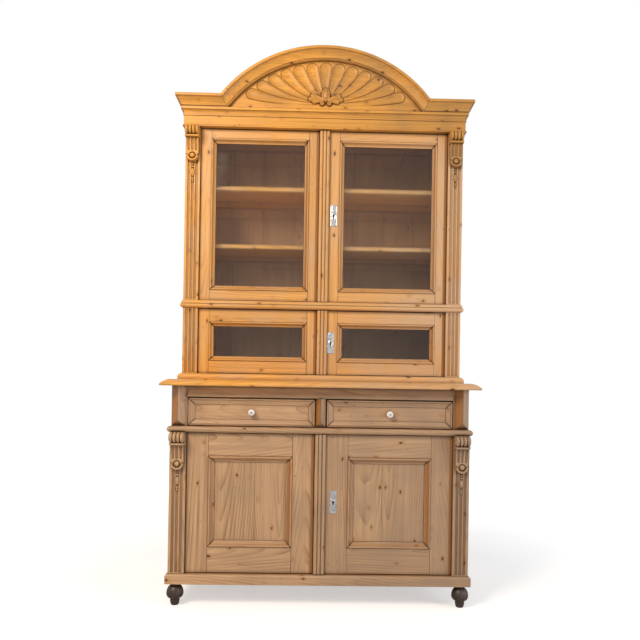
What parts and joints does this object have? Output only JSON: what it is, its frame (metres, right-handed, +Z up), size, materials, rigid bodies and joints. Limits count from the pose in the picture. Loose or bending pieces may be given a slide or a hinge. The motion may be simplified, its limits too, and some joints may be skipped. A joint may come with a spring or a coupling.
{
  "type": "kitchen dresser",
  "caption": "Tall pine kitchen dresser: cupboard base with drawers and panelled doors, glazed upper tiers, fluted posts with scroll corbels and an arched crest with a carved shell.",
  "frame": {"origin": "on the floor, in the middle of the dresser's box", "axes": "+X to the right as seen from the front, +Y to the back, +Z up"},
  "size_m": [1.262, 0.565, 2.309],
  "materials": {
    "waxed_pine": "waxed, honey coloured",
    "inner_pine": "plain planed pine",
    "dark_stained_wood": "stained nearly black",
    "window_glass": "clear old glass",
    "nickel_plate": "pressed and nickel plated",
    "forged_iron": "dark iron",
    "porcelain": "white glaze"
  },
  "bodies": {
    "carcass": {"feet": "dark_stained_wood", "plinth_moulding": "waxed_pine", "base_sides": "waxed_pine", "base_floor": "inner_pine", "base_back_boards": "inner_pine", "base_shelf": "inner_pine", "base_posts": "waxed_pine", "base_corbels": "waxed_pine", "drawer_rail": "waxed_pine", "base_waist_moulding": "waxed_pine", "counter_rail": "waxed_pine", "drawer_divider": "inner_pine", "prism_blocks": "waxed_pine", "drawer_runners": "inner_pine", "countertop": "waxed_pine", "hutch_sides": "waxed_pine", "hutch_floor": "inner_pine", "hutch_deck": "inner_pine", "hutch_top": "inner_pine", "hutch_back_boards": "inner_pine", "hutch_shelves": "inner_pine", "hutch_foot_moulding": "waxed_pine", "hutch_waist_moulding": "waxed_pine", "hutch_posts": "waxed_pine", "hutch_corbels": "waxed_pine", "frieze": "waxed_pine", "cornice_moulding": "waxed_pine", "crest_arch_moulding": "waxed_pine", "crest_board": "waxed_pine", "pivot_plates": "forged_iron"},
    "left_drawer": {"left_drawer_front": "waxed_pine", "left_drawer_box": "inner_pine", "left_drawer_knob": "porcelain"},
    "right_drawer": {"right_drawer_front": "waxed_pine", "right_drawer_box": "inner_pine", "right_drawer_knob": "porcelain"},
    "base_left_door": {"base_left_door_frame": "waxed_pine", "base_left_door_panel": "waxed_pine"},
    "base_right_door": {"base_right_door_frame": "waxed_pine", "base_right_door_panel": "waxed_pine", "base_astragal": "waxed_pine", "base_key_plate": "nickel_plate", "base_lock_case": "forged_iron"},
    "small_left_door": {"small_left_door_frame": "waxed_pine", "small_left_door_glass": "window_glass"},
    "small_right_door": {"small_right_door_frame": "waxed_pine", "small_right_door_glass": "window_glass", "small_astragal": "waxed_pine", "small_key_plate": "nickel_plate", "small_lock_case": "forged_iron"},
    "tall_left_door": {"tall_left_door_frame": "waxed_pine", "tall_left_door_glass": "window_glass"},
    "tall_right_door": {"tall_right_door_frame": "waxed_pine", "tall_right_door_glass": "window_glass", "tall_astragal": "waxed_pine", "tall_key_plate": "nickel_plate", "tall_lock_case": "forged_iron"},
    "base_bolt": {"base_lock_bolt": "forged_iron"},
    "small_bolt": {"small_lock_bolt": "forged_iron"},
    "tall_bolt": {"tall_lock_bolt": "forged_iron"}
  },
  "joints": [
    {"name": "left_drawer_slide", "type": "slide", "parent": "carcass", "child": "left_drawer", "axis": [0, -1, 0], "range_m": [0, 0.3]},
    {"name": "right_drawer_slide", "type": "slide", "parent": "carcass", "child": "right_drawer", "axis": [0, -1, 0], "range_m": [0, 0.3]},
    {"name": "base_left_door_hinge", "type": "hinge", "parent": "carcass", "child": "base_left_door", "pos_m": [-0.517, -0.2195, 0.4075], "axis": [0, 0, -1], "range_deg": [0, 90]},
    {"name": "base_right_door_hinge", "type": "hinge", "parent": "carcass", "child": "base_right_door", "pos_m": [0.517, -0.2195, 0.4075], "axis": [0, 0, 1], "range_deg": [0, 90]},
    {"name": "small_left_door_hinge", "type": "hinge", "parent": "carcass", "child": "small_left_door", "pos_m": [-0.514, -0.0395, 1.063], "axis": [0, 0, -1], "range_deg": [0, 90]},
    {"name": "small_right_door_hinge", "type": "hinge", "parent": "carcass", "child": "small_right_door", "pos_m": [0.514, -0.0395, 1.063], "axis": [0, 0, 1], "range_deg": [0, 90]},
    {"name": "tall_left_door_hinge", "type": "hinge", "parent": "carcass", "child": "tall_left_door", "pos_m": [-0.514, -0.0395, 1.601], "axis": [0, 0, -1], "range_deg": [0, 90]},
    {"name": "tall_right_door_hinge", "type": "hinge", "parent": "carcass", "child": "tall_right_door", "pos_m": [0.514, -0.0395, 1.601], "axis": [0, 0, 1], "range_deg": [0, 90]},
    {"name": "base_bolt_slide", "type": "slide", "parent": "base_right_door", "child": "base_bolt", "axis": [-1, 0, 0], "range_m": [0, 0.014]},
    {"name": "small_bolt_slide", "type": "slide", "parent": "small_right_door", "child": "small_bolt", "axis": [-1, 0, 0], "range_m": [0, 0.014]},
    {"name": "tall_bolt_slide", "type": "slide", "parent": "tall_right_door", "child": "tall_bolt", "axis": [-1, 0, 0], "range_m": [0, 0.014]}
  ]
}
